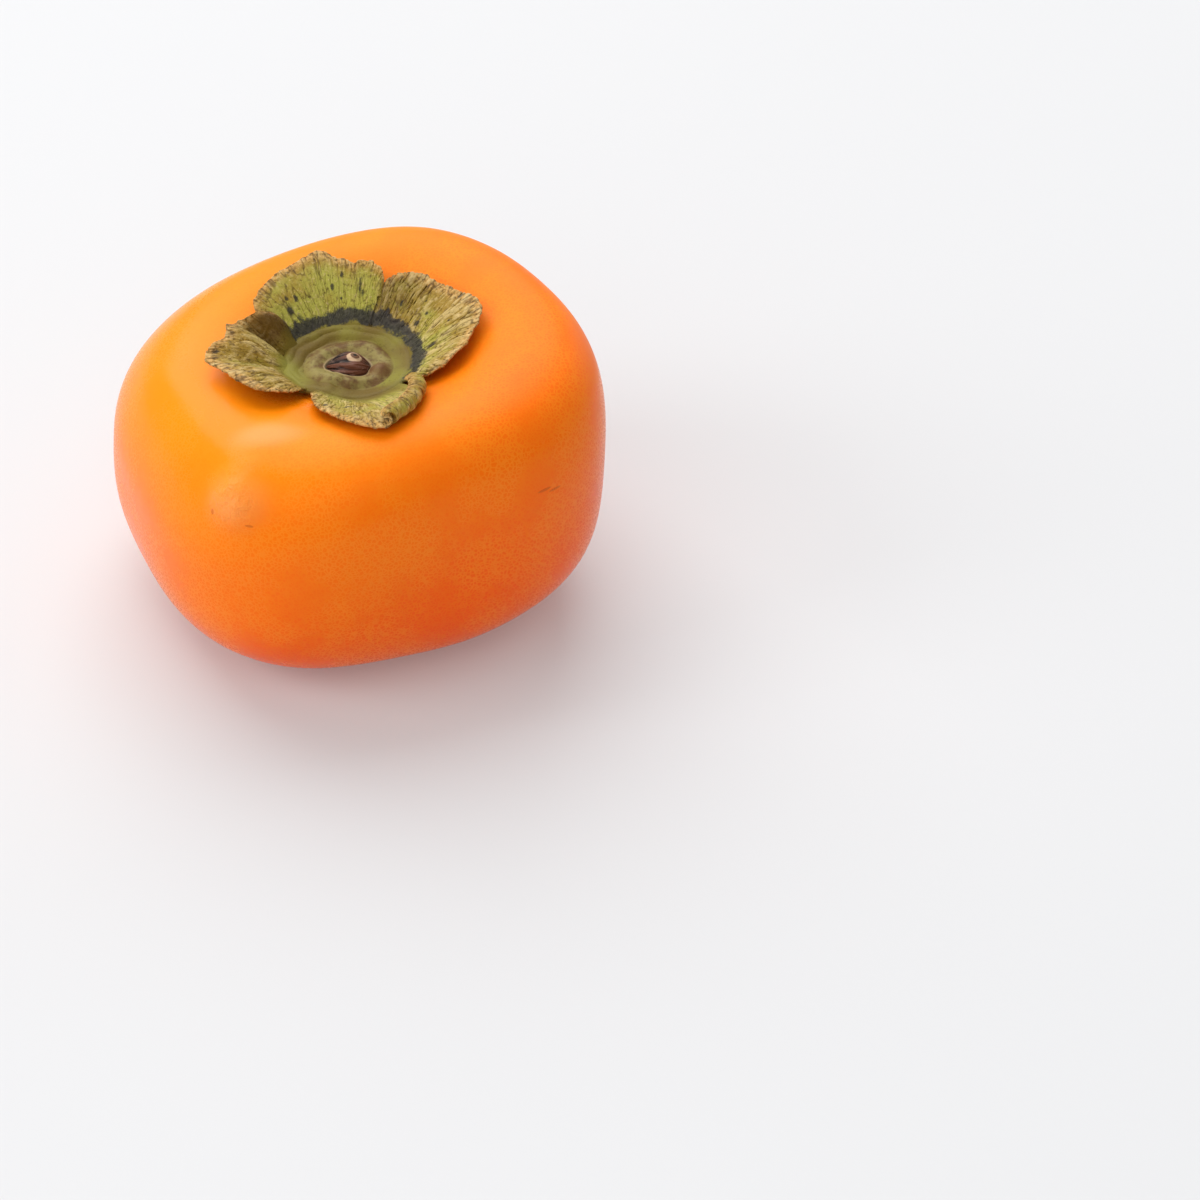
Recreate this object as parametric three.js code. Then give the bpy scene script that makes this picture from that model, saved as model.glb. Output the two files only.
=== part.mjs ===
// A whole Fuyu-type persimmon, standing on the flat of its blossom end.
// The fruit grew as one body. In the dish on its top lie the dried calyx, which is a disc with four sepals
// round it, and the woody stub of the stalk. A dimple underneath holds the dried tip of the flower.
import * as THREE from "three";

// Driving dimensions, in millimetres. Heights are above the surface that the fruit stands on.
const FRUIT_RADIUS = 38;
const WIDEST_HEIGHT = 29;
const RIM_RADIUS = 25;
const RIM_HEIGHT = 46;
const DISH_DEPTH = 8;
const FLAT_RADIUS = 12;
const DIMPLE_RADIUS = 3.2;
const DIMPLE_DEPTH = 1.8;

// How far the skin runs on towards the end of each stretch of its outline before it bends.
const RIM_ROUNDING = 7.5;
const SHOULDER_ROUNDING = 12;
const FLANK_ROUNDING = 16;
const FOOT_ROUNDING = 26.5;

// The fruit is out of round. Each swell is a share of the radius, and bearings are in degrees from +X.
const CORNER_SWELL = 0.047;
const CORNER_BEARING = 70;
const OVAL_SWELL = 0.021;
const OVAL_BEARING = -22;
const SKEW_SWELL = 0.02;
const SKEW_BEARING = -10;

// One shoulder is higher than the other, and the foot is pulled a little to the far left.
const SHOULDER_RISE = 7.3;
const SHOULDER_BEARING = 16;
const SHOULDER_FOOT = 0.2 * RIM_HEIGHT;
const FOOT_PULL = { x: -2.3, y: 2.7 };

// The calyx sits a little to the left of the axis. Its heights are above the skin, and pieces that touch keep
// a hair of air between them.
const AIR = 0.35;
const CALYX_SHIFT = -0.8;
const DISC_RADIUS = 9.6;
const DISC_THICKNESS = 1;
const PAD_RADIUS = 6.8;
const PAD_HEIGHT = 2.4;
const SOCKET_RADIUS = 3.7;
const STUB_RADIUS = SOCKET_RADIUS - AIR;
const STUB_HEIGHT = 3.2;
const SEPAL_THICKNESS = 0.8;
const SEPAL_BASE_LIFT = AIR + SEPAL_THICKNESS / 2 + 0.25;
const TIP_RADIUS = 0.9;

// Each sepal runs between two clefts, given by their bearings where the sepals leave the disc.
// Its free edge runs from the first cleft to the second: [bearing, distance out, height above the skin].
const SEPALS = {
  sepal_back_right: {
    clefts: [-30, 72],
    edge: [[-29, 14, 1.6], [-24, 17.4, 2.2], [-12, 19, 2.5], [2, 20.7, 2.5], [14, 21.3, 2.5],
      [28, 19.8, 2.5], [46, 18.9, 2.5], [62, 17.9, 2.4], [69, 15, 2], [71, 12, 1.6]],
  },
  sepal_back_left: {
    clefts: [75.5, 143],
    edge: [[75.5, 12.5, 2.2], [75, 16, 3.2], [80, 18.3, 3.5], [90, 18.3, 3.5], [105, 21.3, 3.5],
      [118, 20.2, 3.5], [136, 19.1, 3.5], [147, 17.8, 3], [145, 13, 1.8]],
  },
  sepal_left: {
    clefts: [147, 227],
    edge: [[150, 12.2, 2.6], [155, 14.5, 4.4], [163, 17.8, 4.2], [172, 19.2, 3.6], [182, 20, 3],
      [192, 22.4, 3], [206, 20.3, 2.5], [221, 18.8, 2.5], [230, 16, 2.4], [233, 12.5, 1.8]],
  },
  sepal_front: {
    clefts: [232, 325],
    edge: [[240, 12.5, 1.4], [254, 15.7, 1.3], [268, 20, 1.3], [280, 24, 1.3], [289, 25.3, 1.8],
      [299, 25, 4], [308, 21, 4.8], [318, 16.5, 4], [325, 12.8, 2.4]],
  },
};

// How finely the surfaces are divided.
const OUTLINE_STEPS = 10;
const FRUIT_STEPS = 60;
const CALYX_STEPS = 40;
const SEPAL_STEPS_OUT = 6;
const SEPAL_STEPS_ROUND = 14;

const toRadians = THREE.MathUtils.degToRad;
const { lerp, smoothstep } = THREE.MathUtils;

function finish(color, roughness) {
  return new THREE.MeshStandardMaterial({ color, roughness, metalness: 0 });
}

function namedMesh(name, geometry, material) {
  const mesh = new THREE.Mesh(geometry, material);
  mesh.name = name;
  return mesh;
}

// Moves every vertex of a geometry to where a formula puts it.
function reshape(geometry, formula) {
  const vertices = geometry.attributes.position;
  const point = new THREE.Vector3();
  for (let i = 0; i < vertices.count; i += 1) {
    point.fromBufferAttribute(vertices, i);
    formula(point);
    vertices.setXYZ(i, point.x, point.y, point.z);
  }
  geometry.computeVertexNormals();
  return geometry;
}

// Turns an outline of [distance from the axis, height] points about the vertical axis.
function turned(outline, steps) {
  const points = outline.map(([out, height]) => new THREE.Vector2(out, height));
  return new THREE.LatheGeometry(points, steps).rotateX(Math.PI / 2);
}

// The turned body grows out of round: four soft corners, an oval, one corner fuller than the rest, a
// shoulder that is higher on one side and a foot that leans. All of it fades to nothing at the axis.
function growOutOfRound(point) {
  const bearing = Math.atan2(point.y, point.x);
  const reach = (Math.hypot(point.x, point.y) / FRUIT_RADIUS) ** 2;
  const corners = CORNER_SWELL * Math.cos(4 * (bearing - toRadians(CORNER_BEARING)));
  const oval = OVAL_SWELL * Math.cos(2 * (bearing - toRadians(OVAL_BEARING)));
  const skew = SKEW_SWELL * Math.cos(3 * (bearing - toRadians(SKEW_BEARING)));
  const swell = 1 + reach * (corners + oval + skew);
  const height = smoothstep(point.z, SHOULDER_FOOT, RIM_HEIGHT);
  const rise = SHOULDER_RISE * Math.cos(bearing - toRadians(SHOULDER_BEARING));
  const low = reach * (1 - Math.min(point.z / RIM_HEIGHT, 1)) ** 2;
  point.x = point.x * swell + low * FOOT_PULL.x;
  point.y = point.y * swell + low * FOOT_PULL.y;
  point.z += reach * height * rise;
}

// The floor of the dish is a smooth step from its middle up to the rim.
function dishHeight(out) {
  return RIM_HEIGHT - DISH_DEPTH * (1 - smoothstep(out, 0, RIM_RADIUS));
}

// Lays a flat piece of the calyx in the dish: its own height becomes its height above the skin.
function layInDish(point) {
  const lift = point.z;
  point.x += CALYX_SHIFT;
  point.z = dishHeight(Math.hypot(point.x, point.y));
  growOutOfRound(point);
  point.z += lift;
}

// The skin's outline, from the dimple underneath, by the flat, the flank and the rim, to the floor of the dish.
function fruitOutline() {
  const floor = RIM_HEIGHT - DISH_DEPTH;
  const outline = new THREE.Path();
  outline.moveTo(0, DIMPLE_DEPTH);
  outline.bezierCurveTo(DIMPLE_RADIUS / 2, DIMPLE_DEPTH, DIMPLE_RADIUS / 2, 0, DIMPLE_RADIUS, 0);
  outline.lineTo(FLAT_RADIUS, 0);
  outline.bezierCurveTo(
    FLAT_RADIUS + FOOT_ROUNDING, 0,
    FRUIT_RADIUS, WIDEST_HEIGHT - FLANK_ROUNDING,
    FRUIT_RADIUS, WIDEST_HEIGHT,
  );
  outline.bezierCurveTo(
    FRUIT_RADIUS, WIDEST_HEIGHT + SHOULDER_ROUNDING,
    RIM_RADIUS + RIM_ROUNDING, RIM_HEIGHT,
    RIM_RADIUS, RIM_HEIGHT,
  );
  outline.bezierCurveTo((2 / 3) * RIM_RADIUS, RIM_HEIGHT, RIM_RADIUS / 3, floor, 0, floor);
  return outline.getPoints(OUTLINE_STEPS).map(({ x, y }) => [x, y]);
}

function makeFruit() {
  const body = reshape(turned(fruitOutline(), FRUIT_STEPS), growOutOfRound);
  return namedMesh("fruit", body, finish("#f5831f", 0.35));
}

// A thin disc with a raised pad round the socket of the stalk.
function makeCalyxDisc() {
  const top = AIR + DISC_THICKNESS;
  const outline = [
    [SOCKET_RADIUS, AIR],
    [DISC_RADIUS - 3, AIR],
    [DISC_RADIUS, AIR],
    [DISC_RADIUS, top],
    [DISC_RADIUS - 1.4, top],
    [PAD_RADIUS, top + 0.2],
    [PAD_RADIUS - 1, PAD_HEIGHT],
    [SOCKET_RADIUS + 0.8, PAD_HEIGHT],
    [SOCKET_RADIUS, PAD_HEIGHT - 0.4],
    [SOCKET_RADIUS, AIR],
  ];
  const disc = reshape(turned(outline, CALYX_STEPS), layInDish);
  return namedMesh("calyx_disc", disc, finish("#77752f", 0.6));
}

// One sepal: a sheet whose inner edge is an arc round the disc and whose free edge is a smooth curve.
function makeSepal(name, { clefts, edge }) {
  const freeEdge = new THREE.CatmullRomCurve3(edge.map((place) => new THREE.Vector3(...place)));
  const baseRadius = DISC_RADIUS + AIR;
  const sheet = new THREE.BoxGeometry(1, 1, 1, SEPAL_STEPS_OUT, SEPAL_STEPS_ROUND, 1);
  reshape(sheet, (point) => {
    const out = point.x + 0.5;
    const round = point.y + 0.5;
    const end = freeEdge.getPoint(round);
    const bearing = toRadians(lerp(lerp(clefts[0], clefts[1], round), end.x, out));
    const distance = lerp(baseRadius, end.y, out);
    const lift = lerp(SEPAL_BASE_LIFT, end.z, smoothstep(out, 0, 1)) + point.z * SEPAL_THICKNESS;
    point.set(distance * Math.cos(bearing), distance * Math.sin(bearing), lift);
    layInDish(point);
  });
  return namedMesh(name, sheet, finish("#8d8641", 0.7));
}

// The woody stub left in the socket where the stalk was cut, with a low domed end.
function makeStemStub() {
  const outline = [
    [0, AIR],
    [STUB_RADIUS, AIR],
    [STUB_RADIUS, PAD_HEIGHT - 0.2],
    [0.8 * STUB_RADIUS, STUB_HEIGHT - 0.3],
    [0.4 * STUB_RADIUS, STUB_HEIGHT],
    [0, STUB_HEIGHT],
  ];
  const stub = reshape(turned(outline, 20), layInDish);
  return namedMesh("stem_stub", stub, finish("#3f2a20", 0.8));
}

// The dried tip of the flower, a little cone that points down out of the dimple and stays clear of the ground.
function makeBlossomTip() {
  const ceiling = DIMPLE_DEPTH - AIR;
  const outline = [
    [0, AIR],
    [0.4 * TIP_RADIUS, AIR + 0.15],
    [TIP_RADIUS, ceiling - 0.2],
    [0.7 * TIP_RADIUS, ceiling],
    [0, ceiling],
  ];
  return namedMesh("blossom_tip", turned(outline, 12), finish("#2b1d18", 0.9));
}

// The origin is on the ground under the middle of the fruit's outline.
function standOverOrigin(group) {
  const middle = new THREE.Box3().setFromObject(group, true).getCenter(new THREE.Vector3());
  group.position.set(-middle.x, -middle.y, 0);
}

const persimmon = new THREE.Group();
persimmon.add(makeFruit(), makeCalyxDisc());
for (const [name, sepal] of Object.entries(SEPALS)) {
  persimmon.add(makeSepal(name, sepal));
}
persimmon.add(makeStemStub(), makeBlossomTip());
standOverOrigin(persimmon);

export default persimmon;
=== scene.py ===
from math import atan2, cos, exp, hypot, pi, radians, sin

import bpy
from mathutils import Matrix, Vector, noise
from mathutils.bvhtree import BVHTree


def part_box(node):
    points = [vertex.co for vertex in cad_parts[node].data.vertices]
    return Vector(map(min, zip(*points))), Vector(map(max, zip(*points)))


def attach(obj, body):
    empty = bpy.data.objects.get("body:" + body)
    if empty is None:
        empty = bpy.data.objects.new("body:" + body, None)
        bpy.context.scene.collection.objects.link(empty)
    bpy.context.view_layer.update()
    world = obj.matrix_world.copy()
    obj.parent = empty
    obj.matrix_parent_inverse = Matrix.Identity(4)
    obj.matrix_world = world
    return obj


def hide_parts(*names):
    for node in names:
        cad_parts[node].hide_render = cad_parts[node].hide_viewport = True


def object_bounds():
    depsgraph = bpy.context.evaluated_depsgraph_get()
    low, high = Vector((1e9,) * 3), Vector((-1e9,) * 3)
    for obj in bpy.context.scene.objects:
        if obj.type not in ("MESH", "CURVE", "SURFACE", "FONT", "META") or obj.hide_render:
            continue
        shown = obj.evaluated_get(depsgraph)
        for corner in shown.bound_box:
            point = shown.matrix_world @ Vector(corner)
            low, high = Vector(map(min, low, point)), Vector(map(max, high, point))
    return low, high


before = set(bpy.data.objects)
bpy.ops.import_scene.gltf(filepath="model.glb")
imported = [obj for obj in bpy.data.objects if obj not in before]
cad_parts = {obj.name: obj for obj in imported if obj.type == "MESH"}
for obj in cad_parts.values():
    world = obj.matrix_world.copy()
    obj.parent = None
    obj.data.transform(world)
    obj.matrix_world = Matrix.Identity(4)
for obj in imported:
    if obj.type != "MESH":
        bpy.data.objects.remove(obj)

cad_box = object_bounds()


# ---------------------------------------------------------------------------------------------------------
# The place of the fruit. Its axis runs straight up from the dried flower tip underneath. The camera looks
# down on it from in front with a long lens, aimed to the right of the axis and a little in front of it.
# ---------------------------------------------------------------------------------------------------------
MM = 0.001
CAMERA_DISTANCE = 800 * MM
CAMERA_ELEVATION = radians(38.5)
AIM_FROM_AXIS = Vector((38.75, -6.67, 0)) * MM
LENS_MM = 149
SENSOR_MM = 36

tip_low, tip_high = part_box("blossom_tip")
axis_foot = Vector(((tip_low.x + tip_high.x) / 2, (tip_low.y + tip_high.y) / 2, 0))

camera = bpy.data.objects.new("camera", bpy.data.cameras.new("camera"))
bpy.context.collection.objects.link(camera)
backwards = Vector((0, -cos(CAMERA_ELEVATION), sin(CAMERA_ELEVATION)))
camera.location = axis_foot + AIM_FROM_AXIS + CAMERA_DISTANCE * backwards
camera.rotation_euler = backwards.to_track_quat("Z", "Y").to_euler()
camera.data.lens = LENS_MM
camera.data.sensor_width = SENSOR_MM
camera.data.clip_start = 50 * MM
bpy.context.scene.camera = camera


# ---------------------------------------------------------------------------------------------------------
# The fruit. A squat berry with four soft corners and a thin, tight, waxy skin over firm flesh. It grew in
# one piece, so it is one welded body: the CAD form made smooth, with slight unevenness, a blister where it
# rubbed on a twig, and a dimple underneath.
# ---------------------------------------------------------------------------------------------------------
BLISTER = {"bearing": 241, "height": 38.5, "reach": 8, "rise": 1.5}
BLISTER_GRAIN = {"size": 1.6, "rise": 0.45}
UNEVEN_SIZE = 17
UNEVEN_RISE = 0.28
FLAT_HEIGHT = 3


def work_on(piece):
    """Makes one piece the only selected and active one."""
    bpy.ops.object.select_all(action="DESELECT")
    piece.select_set(True)
    bpy.context.view_layer.objects.active = piece


def add_modifier(piece, kind, **settings):
    """Adds a modifier to a piece and applies it."""
    work_on(piece)
    modifier = piece.modifiers.new(kind.title(), kind)
    for name, value in settings.items():
        setattr(modifier, name, value)
    bpy.ops.object.modifier_apply(modifier=modifier.name)


fruit = bpy.data.objects.new("persimmon_fruit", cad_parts["fruit"].data.copy())
bpy.context.collection.objects.link(fruit)
work_on(fruit)
bpy.ops.mesh.customdata_custom_splitnormals_clear()
bpy.ops.object.mode_set(mode="EDIT")
bpy.ops.mesh.select_all(action="SELECT")
bpy.ops.mesh.remove_doubles(threshold=0.01 * MM)
bpy.ops.mesh.tris_convert_to_quads()
bpy.ops.object.mode_set(mode="OBJECT")
add_modifier(fruit, "SUBSURF", levels=2, render_levels=2)


def unevenness(place):
    """How far the skin at a place stands out from the plain form, in mm."""
    from_axis = place - axis_foot
    swell = UNEVEN_RISE * noise.noise(place / (UNEVEN_SIZE * MM))
    bearing = radians(BLISTER["bearing"])
    side = hypot(from_axis.x, from_axis.y)
    blister_place = Vector((cos(bearing) * side, sin(bearing) * side, BLISTER["height"] * MM))
    away = (from_axis - blister_place).length / (BLISTER["reach"] * MM)
    lumps = BLISTER_GRAIN["rise"] * noise.noise(place / (BLISTER_GRAIN["size"] * MM))
    blister = BLISTER["rise"] * exp(-4 * away * away) + lumps * exp(-8 * away * away)
    above_flat = min(max(place.z / (FLAT_HEIGHT * MM), 0), 1)
    return (swell + blister) * above_flat


# Every normal is read before the first vertex moves, since a move makes Blender work them all out again.
moves = [vertex.normal * unevenness(vertex.co) * MM for vertex in fruit.data.vertices]
for vertex, move in zip(fruit.data.vertices, moves):
    vertex.co += move


def linear(hex_colour):
    """An sRGB hex colour as linear red, green, blue and alpha."""
    shares = [int(hex_colour[i:i + 2], 16) / 255 for i in (1, 3, 5)]
    return [s / 12.92 if s <= 0.04045 else ((s + 0.055) / 1.055) ** 2.4 for s in shares] + [1.0]


def add_node(material, kind, inputs=None, **settings):
    """Adds a shader node and returns its outputs. An input is given a value or another node's output."""
    made = material.node_tree.nodes.new("ShaderNode" + kind)
    for name, value in settings.items():
        setattr(made, name, value)
    for name, value in (inputs or {}).items():
        if isinstance(value, bpy.types.NodeSocket):
            material.node_tree.links.new(value, made.inputs[name])
        else:
            made.inputs[name].default_value = value
    return made.outputs


def new_material(name, **shader_values):
    """A material and its Principled shader, with the constant values set on the shader's own sockets."""
    material = bpy.data.materials.new(name)
    material.use_nodes = True
    shader = material.node_tree.nodes["Principled BSDF"]
    for socket, value in shader_values.items():
        shader.inputs[socket.replace("_", " ")].default_value = value
    return material, shader


def link(material, output, shader, socket):
    """Links an output to one of the shader's sockets."""
    material.node_tree.links.new(output, shader.inputs[socket])


def grain_scale(size):
    """The scale at which noise on coordinates in metres has grains of about this size in mm."""
    return 0.5 / (size * MM)


def paint(material, colour, *coats):
    """Lays coats over a colour.

    A coat is its colour, the output that says where it lies and, unless that is its share from 0 to 1
    already, the value at which it starts, the value at which it is full, and how much it then covers.
    """
    for coat_colour, where, *coming_in in coats:
        if coming_in:
            start, full, cover = coming_in
            ranges = {"Value": where, "From Min": start, "From Max": full, "To Max": cover}
            where = add_node(material, "MapRange", ranges, interpolation_type="SMOOTHSTEP")["Result"]
        under, over = (linear(c) if isinstance(c, str) else c for c in (colour, coat_colour))
        colour = add_node(material, "Mix", {0: where, 6: under, 7: over}, data_type="RGBA")[2]
    return colour


def near(material, place, spot, reach, stretch=(1, 1, 1), core=0.5):
    """A soft spot: 1 inside its core, 0 beyond its reach in mm, and longer where stretch is above 1."""
    away = add_node(material, "VectorMath", {0: place, 1: spot}, operation="SUBTRACT")[0]
    away = add_node(material, "VectorMath", {0: away, 1: stretch}, operation="DIVIDE")[0]
    distance = add_node(material, "VectorMath", {0: away}, operation="LENGTH")["Value"]
    ranges = {"Value": distance, "From Min": reach * MM, "From Max": core * reach * MM}
    return add_node(material, "MapRange", ranges, interpolation_type="SMOOTHSTEP")["Result"]


def finish_piece(piece, node_name, material):
    """Gives a piece its material and its place in the frame."""
    piece.data.materials.clear()
    piece.data.materials.append(material)
    for face in piece.data.polygons:
        face.use_smooth = True
    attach(piece, "root")
    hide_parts(node_name)


# Ripe skin, grown: a thin clear wax over orange flesh that the light enters a little way. The eye sees a
# satin sheen, amber shoulders over a deep orange base that reaches higher on one side, and a net of paler
# speckles under the wax, drawn slightly coarser than they grow so that they show. Pale patches over the
# blister and along the front rim are painted highlight.
SKIN_RIPE = "#f75402"
SKIN_SIDE = "#fb6e00"
SKIN_PALE = "#ff8c06"
SKIN_SPECKLE = "#ff951e"
WAXY_HIGHLIGHT = "#ffae72"
BLEMISH = "#a8380a"
# The skin grows paler upwards, and towards -X by this share of that rate.
PALENESS_TILT = 0.4
BLOTCH_SIZE = 9
BLOTCH_SHIFT = 16
SPECKLE_SIZE = 0.65
SPECKLE_SHARE = 0.45
WARP_SIZE = 0.4
WARP_REACH = 0.6
SPECKLED_PATCH_SIZE = 5
PORE_SIZE = 0.6
SHEEN = {"clear": 0.22, "speckled": 0.3, "bloom": 0.22, "bloom_start": 42, "bloom_full": 45}
BLISTER_SPOT = (-17.5, -32, 37.6)
WRINKLE_SIZE = 0.9
# Painted highlight: pale patches over the blister, and a long one along the front rim.
HIGHLIGHT_PATCHES = [
    {"spot": (-16.9, -31.2, 38.5), "reach": 9, "stretch": (1, 1, 0.8), "share": 0.24},
    {"spot": BLISTER_SPOT, "reach": 4, "stretch": (1, 1, 0.8), "share": 0.2},
    {"spot": (-12.5, -22, 44), "reach": 6, "stretch": (1.6, 0.8, 1), "share": 0.42},
]
BLEMISHES = [
    {"spot": (-20.8, -31.2, 36.2), "reach": 0.7, "stretch": (0.5, 1, 0.9)},
    {"spot": (-15, -34.9, 36.2), "reach": 0.7, "stretch": (1.3, 1, 0.35)},
    {"spot": (30, -24.7, 35.4), "reach": 0.55, "stretch": (3, 3, 0.6)},
    {"spot": (31.5, -23.4, 34.7), "reach": 0.5, "stretch": (3, 3, 0.6)},
    {"spot": (8, -37.2, 27), "reach": 0.25, "stretch": (1, 1, 1)},
]
BLEMISH_SHARE = 0.45

skin, skin_shader = new_material(
    "waxy_persimmon_skin",
    IOR=1.45, Specular_IOR_Level=0.15, Subsurface_Weight=0.15, Subsurface_Scale=3 * MM,
    Subsurface_Radius=(1.0, 0.35, 0.12),
)
skin_place = add_node(skin, "TexCoord")["Object"]
skin_axes = add_node(skin, "SeparateXYZ", {"Vector": skin_place})

blotch_noise = {"Vector": skin_place, "Scale": grain_scale(BLOTCH_SIZE), "Detail": 3}
blotches = add_node(skin, "TexNoise", blotch_noise)["Fac"]
tilted = {0: skin_axes["X"], 1: -PALENESS_TILT, 2: skin_axes["Z"]}
tilted_height = add_node(skin, "Math", tilted, operation="MULTIPLY_ADD")[0]
blotched = {0: blotches, 1: BLOTCH_SHIFT * MM, 2: tilted_height}
paleness = add_node(skin, "Math", blotched, operation="MULTIPLY_ADD")[0]

warp_noise = {"Vector": skin_place, "Scale": grain_scale(WARP_SIZE), "Detail": 2}
warp = add_node(skin, "TexNoise", warp_noise)["Color"]
warping = {0: warp, 1: (WARP_REACH * MM,) * 3, 2: skin_place}
warped = add_node(skin, "VectorMath", warping, operation="MULTIPLY_ADD")[0]
cells = {"Vector": warped, "Scale": 1 / (SPECKLE_SIZE * MM)}
cell_edge = add_node(skin, "TexVoronoi", cells, feature="DISTANCE_TO_EDGE")["Distance"]
ranges = {"Value": cell_edge, "From Min": 0.25, "From Max": 0.02, "To Max": SPECKLE_SHARE}
speckles = add_node(skin, "MapRange", ranges, interpolation_type="SMOOTHSTEP")["Result"]
patch_noise = {"Vector": skin_place, "Scale": grain_scale(SPECKLED_PATCH_SIZE)}
patchy = add_node(skin, "TexNoise", patch_noise)["Fac"]
ranges = {"Value": patchy, "From Min": 0.3, "From Max": 0.6, "To Min": 0.3}
patchy = add_node(skin, "MapRange", ranges, interpolation_type="SMOOTHSTEP")["Result"]
speckles = add_node(skin, "Math", {0: speckles, 1: patchy}, operation="MULTIPLY")[0]

skin_colour = paint(
    skin, SKIN_RIPE,
    (SKIN_SIDE, paleness, 14 * MM, 40 * MM, 1),
    (SKIN_PALE, paleness, 40 * MM, 62 * MM, 1),
    (SKIN_SPECKLE, speckles),
)
# Lays the painted highlight patches over the skin.
for patch in HIGHLIGHT_PATCHES:
    patch_spot = Vector(patch["spot"]) * MM
    highlit = near(skin, skin_place, patch_spot, patch["reach"], patch["stretch"], core=0)
    skin_colour = paint(skin, skin_colour, (WAXY_HIGHLIGHT, highlit, 0, 1, patch["share"]))
for blemish in BLEMISHES:
    blemish_spot = Vector(blemish["spot"]) * MM
    marked = near(skin, skin_place, blemish_spot, blemish["reach"], blemish["stretch"])
    skin_colour = paint(skin, skin_colour, (BLEMISH, marked, 0, 1, BLEMISH_SHARE))
link(skin, skin_colour, skin_shader, "Base Color")

ranges = {
    "Value": skin_axes["Z"], "To Max": SHEEN["bloom"],
    "From Min": SHEEN["bloom_start"] * MM, "From Max": SHEEN["bloom_full"] * MM,
}
bloom = add_node(skin, "MapRange", ranges, interpolation_type="SMOOTHSTEP")["Result"]
ranges = {
    "Value": speckles, "From Min": 0, "From Max": SPECKLE_SHARE,
    "To Min": SHEEN["clear"], "To Max": SHEEN["speckled"],
}
sheen = add_node(skin, "MapRange", ranges, interpolation_type="SMOOTHSTEP")["Result"]
skin_roughness = add_node(skin, "Math", {0: sheen, 1: bloom}, operation="ADD")[0]
link(skin, skin_roughness, skin_shader, "Roughness")

pore_noise = {"Vector": skin_place, "Scale": grain_scale(PORE_SIZE)}
pores = add_node(skin, "TexNoise", pore_noise)["Fac"]
pore_relief = {"Height": pores, "Strength": 0.1, "Distance": 0.4 * MM}
pore_normal = add_node(skin, "Bump", pore_relief)["Normal"]
wrinkle_noise = {"Vector": skin_place, "Scale": grain_scale(WRINKLE_SIZE), "Detail": 3, "Distortion": 1.5}
blister_wrinkles = add_node(skin, "TexNoise", wrinkle_noise)["Fac"]
on_blister = near(skin, skin_place, Vector(BLISTER_SPOT) * MM, 6, core=0)
blister_wrinkles = add_node(skin, "Math", {0: blister_wrinkles, 1: on_blister}, operation="MULTIPLY")[0]
blister_relief = {
    "Height": blister_wrinkles, "Normal": pore_normal, "Strength": 0.8, "Distance": 0.8 * MM,
}
link(skin, add_node(skin, "Bump", blister_relief)["Normal"], skin_shader, "Normal")
finish_piece(fruit, "fruit", skin)


# ---------------------------------------------------------------------------------------------------------
# The calyx disc. The flower's dried calyx lies in the dish on top of the fruit: a leathery disc, thicker
# in a pad round the socket of the stalk, with faint creases round the pad. The sepals grow from its edge.
# ---------------------------------------------------------------------------------------------------------
CALYX_SHIFT = Vector((-0.8, 0, 0)) * MM
DISC_EDGE = 10.4
SEPAL_ROOT = 8.8
DISC_LIFT = 1.15
DISC_THICKNESS = 0.7
DISC_TUCK = 0.6
PAD_EDGE = 6.8
PAD_RISE = 1.05
PAD_HOLLOW = 0.45
SOCKET_RADIUS = 3.45
SOCKET_DEPTH = 1.2
CALLUS = {"x": 4.8, "y": -1.1, "reach": 1.9, "rise": 0.9}
CREASE_RISE = 0.11
CREASES_PER_MM = 4

calyx_middle = axis_foot + CALYX_SHIFT
skin_surface = BVHTree.FromObject(fruit, bpy.context.evaluated_depsgraph_get())


def skin_under(x, y):
    """The height of the skin under a point, in metres."""
    place, _, _, _ = skin_surface.ray_cast((x, y, 2 * cad_box[1].z), (0, 0, -1))
    return place.z if place else 0.0


def over_dish(x, y, lift):
    """A place over the dish, given in mm from the stalk's middle and in mm above the skin."""
    x, y = calyx_middle.x + x * MM, calyx_middle.y + y * MM
    return Vector((x, y, skin_under(x, y) + lift * MM))


def in_dish(bearing, distance, lift):
    """The same with a bearing in degrees and a distance in mm."""
    return over_dish(distance * cos(radians(bearing)), distance * sin(radians(bearing)), lift)


def smooth_step(value, low, high):
    """A smooth rise from 0 at low to 1 at high, or a fall where low is the larger of the two."""
    share = min(max((value - low) / (high - low), 0), 1)
    return share * share * (3 - 2 * share)


def make_sheet(name, steps_round, steps_out, thickness, place):
    """A curved sheet whose upper side is where `place` puts each (round, out) from 0 to 1.

    `place` also gives what the colour needs to know of each spot, such as how dry it is. These
    values are kept on the mesh as named attributes.
    """
    bpy.ops.object.select_all(action="DESELECT")
    bpy.ops.mesh.primitive_grid_add(
        x_subdivisions=steps_round, y_subdivisions=steps_out, size=1, calc_uvs=True,
    )
    sheet = bpy.context.active_object
    sheet.name = name
    notes = {}
    for vertex in sheet.data.vertices:
        vertex.co, spot = place(vertex.co.x + 0.5, vertex.co.y + 0.5)
        for note, value in spot.items():
            notes.setdefault(note, []).append(value)
    for note, values in notes.items():
        sheet.data.attributes.new(note, "FLOAT", "POINT").data.foreach_set("value", values)
    bpy.ops.object.mode_set(mode="EDIT")
    bpy.ops.mesh.select_all(action="SELECT")
    bpy.ops.mesh.remove_doubles(threshold=0.001 * MM)
    bpy.ops.mesh.flip_normals()
    bpy.ops.object.mode_set(mode="OBJECT")
    add_modifier(sheet, "SOLIDIFY", thickness=thickness * MM, offset=-1)
    return sheet


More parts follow.
